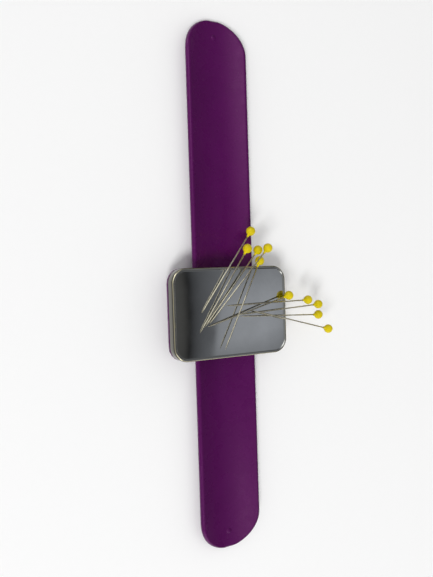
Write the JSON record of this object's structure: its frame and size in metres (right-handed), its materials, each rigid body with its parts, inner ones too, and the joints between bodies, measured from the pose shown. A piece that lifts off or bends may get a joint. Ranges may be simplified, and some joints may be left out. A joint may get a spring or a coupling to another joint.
{
  "type": "magnetic wristband",
  "caption": "Flexible slap band that curls round a wrist, with a shallow steel tray over magnets that holds ball-head pins lying across its rim.",
  "frame": {"origin": "on the wrist side of the band, in the middle of its flat strip, under the centre of the tray", "axes": "+X across the band, +Y along the band toward its longer arm, +Z out of the tray"},
  "size_m": [0.0789, 0.2298, 0.0185],
  "materials": {
    "silicone": "satin",
    "tray_steel": "polished",
    "blade_steel": "rolled",
    "ferrite": "matte",
    "pin_steel": "polished",
    "pin_head": "gloss"
  },
  "bodies": {
    "tray_unit": {"tray_pan": "tray_steel", "tray_base": "silicone", "magnet_left": "ferrite", "magnet_right": "ferrite", "bond_saddle": "silicone", "band_seat": "silicone", "spring_blade": "blade_steel"},
    "long_link_01": {"band_long_01": "silicone"},
    "long_link_02": {"band_long_02": "silicone"},
    "long_link_03": {"band_long_03": "silicone"},
    "long_link_04": {"band_long_04": "silicone"},
    "long_link_05": {"band_long_05": "silicone"},
    "long_link_06": {"band_long_06": "silicone"},
    "long_link_07": {"band_long_07": "silicone"},
    "long_link_08": {"band_long_08": "silicone"},
    "long_link_09": {"band_long_09": "silicone"},
    "long_link_10": {"band_long_10": "silicone"},
    "long_link_11": {"band_long_11": "silicone"},
    "long_link_12": {"band_long_12": "silicone"},
    "long_link_13": {"band_long_13": "silicone"},
    "long_link_14": {"band_long_14": "silicone"},
    "long_link_15": {"band_long_15": "silicone"},
    "short_link_01": {"band_short_01": "silicone"},
    "short_link_02": {"band_short_02": "silicone"},
    "short_link_03": {"band_short_03": "silicone"},
    "short_link_04": {"band_short_04": "silicone"},
    "short_link_05": {"band_short_05": "silicone"},
    "short_link_06": {"band_short_06": "silicone"},
    "short_link_07": {"band_short_07": "silicone"},
    "short_link_08": {"band_short_08": "silicone"},
    "short_link_09": {"band_short_09": "silicone"},
    "short_link_10": {"band_short_10": "silicone"},
    "short_link_11": {"band_short_11": "silicone"},
    "short_link_12": {"band_short_12": "silicone"},
    "held_pins": {"pin_shaft_01": "pin_steel", "pin_head_01": "pin_head", "pin_shaft_02": "pin_steel", "pin_head_02": "pin_head", "pin_shaft_03": "pin_steel", "pin_head_03": "pin_head", "pin_shaft_04": "pin_steel", "pin_head_04": "pin_head", "pin_shaft_05": "pin_steel", "pin_head_05": "pin_head", "pin_shaft_06": "pin_steel", "pin_head_06": "pin_head", "pin_shaft_07": "pin_steel", "pin_head_07": "pin_head", "pin_shaft_08": "pin_steel", "pin_head_08": "pin_head", "pin_shaft_09": "pin_steel", "pin_head_09": "pin_head", "pin_shaft_10": "pin_steel", "pin_head_10": "pin_head"}
  },
  "joints": [
    {"name": "long_curl", "type": "hinge", "parent": "tray_unit", "child": "long_link_01", "pos_m": [0, 0.013, 0], "axis": [-1, 0, 0], "range_deg": [0, 18.6], "deforming": ["spring_blade"]},
    {"name": "long_curl_02", "type": "hinge", "parent": "long_link_01", "child": "long_link_02", "pos_m": [0, 0.02025, 0], "axis": [-1, 0, 0], "range_deg": [0, 18.6]},
    {"name": "long_curl_03", "type": "hinge", "parent": "long_link_02", "child": "long_link_03", "pos_m": [0, 0.0275, 0], "axis": [-1, 0, 0], "range_deg": [0, 18.6]},
    {"name": "long_curl_04", "type": "hinge", "parent": "long_link_03", "child": "long_link_04", "pos_m": [0, 0.03475, 0], "axis": [-1, 0, 0], "range_deg": [0, 18.6]},
    {"name": "long_curl_05", "type": "hinge", "parent": "long_link_04", "child": "long_link_05", "pos_m": [0, 0.042, 0], "axis": [-1, 0, 0], "range_deg": [0, 18.6]},
    {"name": "long_curl_06", "type": "hinge", "parent": "long_link_05", "child": "long_link_06", "pos_m": [0, 0.04925, 0], "axis": [-1, 0, 0], "range_deg": [0, 18.6]},
    {"name": "long_curl_07", "type": "hinge", "parent": "long_link_06", "child": "long_link_07", "pos_m": [0, 0.0565, 0], "axis": [-1, 0, 0], "range_deg": [0, 17.8]},
    {"name": "long_curl_08", "type": "hinge", "parent": "long_link_07", "child": "long_link_08", "pos_m": [0, 0.06375, 0], "axis": [-1, 0, 0], "range_deg": [0, 15.81]},
    {"name": "long_curl_09", "type": "hinge", "parent": "long_link_08", "child": "long_link_09", "pos_m": [0, 0.071, 0], "axis": [-1, 0, 0], "range_deg": [0, 13.82]},
    {"name": "long_curl_10", "type": "hinge", "parent": "long_link_09", "child": "long_link_10", "pos_m": [0, 0.07825, 0], "axis": [-1, 0, 0], "range_deg": [0, 11.83]},
    {"name": "long_curl_11", "type": "hinge", "parent": "long_link_10", "child": "long_link_11", "pos_m": [0, 0.0855, 0], "axis": [-1, 0, 0], "range_deg": [0, 9.84]},
    {"name": "long_curl_12", "type": "hinge", "parent": "long_link_11", "child": "long_link_12", "pos_m": [0, 0.09275, 0], "axis": [-1, 0, 0], "range_deg": [0, 7.83]},
    {"name": "long_curl_13", "type": "hinge", "parent": "long_link_12", "child": "long_link_13", "pos_m": [0, 0.1, 0], "axis": [-1, 0, 0], "range_deg": [0, 5.84]},
    {"name": "long_curl_14", "type": "hinge", "parent": "long_link_13", "child": "long_link_14", "pos_m": [0, 0.10725, 0], "axis": [-1, 0, 0], "range_deg": [0, 3.85]},
    {"name": "long_curl_15", "type": "hinge", "parent": "long_link_14", "child": "long_link_15", "pos_m": [0, 0.1145, 0], "axis": [-1, 0, 0], "range_deg": [0, 1.86]},
    {"name": "short_curl", "type": "hinge", "parent": "tray_unit", "child": "short_link_01", "pos_m": [0, -0.013, 0], "axis": [1, 0, 0], "range_deg": [0, 22.6], "deforming": ["spring_blade"]},
    {"name": "short_curl_02", "type": "hinge", "parent": "short_link_01", "child": "short_link_02", "pos_m": [0, -0.02032, 0], "axis": [1, 0, 0], "range_deg": [0, 22.6]},
    {"name": "short_curl_03", "type": "hinge", "parent": "short_link_02", "child": "short_link_03", "pos_m": [0, -0.02764, 0], "axis": [1, 0, 0], "range_deg": [0, 22.6]},
    {"name": "short_curl_04", "type": "hinge", "parent": "short_link_03", "child": "short_link_04", "pos_m": [0, -0.03495, 0], "axis": [1, 0, 0], "range_deg": [0, 22.6]},
    {"name": "short_curl_05", "type": "hinge", "parent": "short_link_04", "child": "short_link_05", "pos_m": [0, -0.04227, 0], "axis": [1, 0, 0], "range_deg": [0, 22.6]},
    {"name": "short_curl_06", "type": "hinge", "parent": "short_link_05", "child": "short_link_06", "pos_m": [0, -0.04959, 0], "axis": [1, 0, 0], "range_deg": [0, 22.6]},
    {"name": "short_curl_07", "type": "hinge", "parent": "short_link_06", "child": "short_link_07", "pos_m": [0, -0.05691, 0], "axis": [1, 0, 0], "range_deg": [0, 20.75]},
    {"name": "short_curl_08", "type": "hinge", "parent": "short_link_07", "child": "short_link_08", "pos_m": [0, -0.06423, 0], "axis": [1, 0, 0], "range_deg": [0, 17.06]},
    {"name": "short_curl_09", "type": "hinge", "parent": "short_link_08", "child": "short_link_09", "pos_m": [0, -0.07155, 0], "axis": [1, 0, 0], "range_deg": [0, 13.36]},
    {"name": "short_curl_10", "type": "hinge", "parent": "short_link_09", "child": "short_link_10", "pos_m": [0, -0.07886, 0], "axis": [1, 0, 0], "range_deg": [0, 9.65]},
    {"name": "short_curl_11", "type": "hinge", "parent": "short_link_10", "child": "short_link_11", "pos_m": [0, -0.08618, 0], "axis": [1, 0, 0], "range_deg": [0, 5.97]},
    {"name": "short_curl_12", "type": "hinge", "parent": "short_link_11", "child": "short_link_12", "pos_m": [0, -0.0935, 0], "axis": [1, 0, 0], "range_deg": [0, 2.26]},
    {"name": "pins_lift", "type": "slide", "parent": "tray_unit", "child": "held_pins", "axis": [0, 0, 1], "range_m": [0, 0.04]}
  ],
  "couplings": [
    {"joint": "long_curl_02", "follows": "long_curl", "ratio": 1},
    {"joint": "long_curl_03", "follows": "long_curl", "ratio": 1},
    {"joint": "long_curl_04", "follows": "long_curl", "ratio": 1},
    {"joint": "long_curl_05", "follows": "long_curl", "ratio": 1},
    {"joint": "long_curl_06", "follows": "long_curl", "ratio": 1},
    {"joint": "long_curl_07", "follows": "long_curl", "ratio": 0.957},
    {"joint": "long_curl_08", "follows": "long_curl", "ratio": 0.85},
    {"joint": "long_curl_09", "follows": "long_curl", "ratio": 0.743},
    {"joint": "long_curl_10", "follows": "long_curl", "ratio": 0.636},
    {"joint": "long_curl_11", "follows": "long_curl", "ratio": 0.529},
    {"joint": "long_curl_12", "follows": "long_curl", "ratio": 0.421},
    {"joint": "long_curl_13", "follows": "long_curl", "ratio": 0.314},
    {"joint": "long_curl_14", "follows": "long_curl", "ratio": 0.207},
    {"joint": "long_curl_15", "follows": "long_curl", "ratio": 0.1},
    {"joint": "short_curl_02", "follows": "short_curl", "ratio": 1},
    {"joint": "short_curl_03", "follows": "short_curl", "ratio": 1},
    {"joint": "short_curl_04", "follows": "short_curl", "ratio": 1},
    {"joint": "short_curl_05", "follows": "short_curl", "ratio": 1},
    {"joint": "short_curl_06", "follows": "short_curl", "ratio": 1},
    {"joint": "short_curl_07", "follows": "short_curl", "ratio": 0.918},
    {"joint": "short_curl_08", "follows": "short_curl", "ratio": 0.755},
    {"joint": "short_curl_09", "follows": "short_curl", "ratio": 0.591},
    {"joint": "short_curl_10", "follows": "short_curl", "ratio": 0.427},
    {"joint": "short_curl_11", "follows": "short_curl", "ratio": 0.264},
    {"joint": "short_curl_12", "follows": "short_curl", "ratio": 0.1}
  ]
}
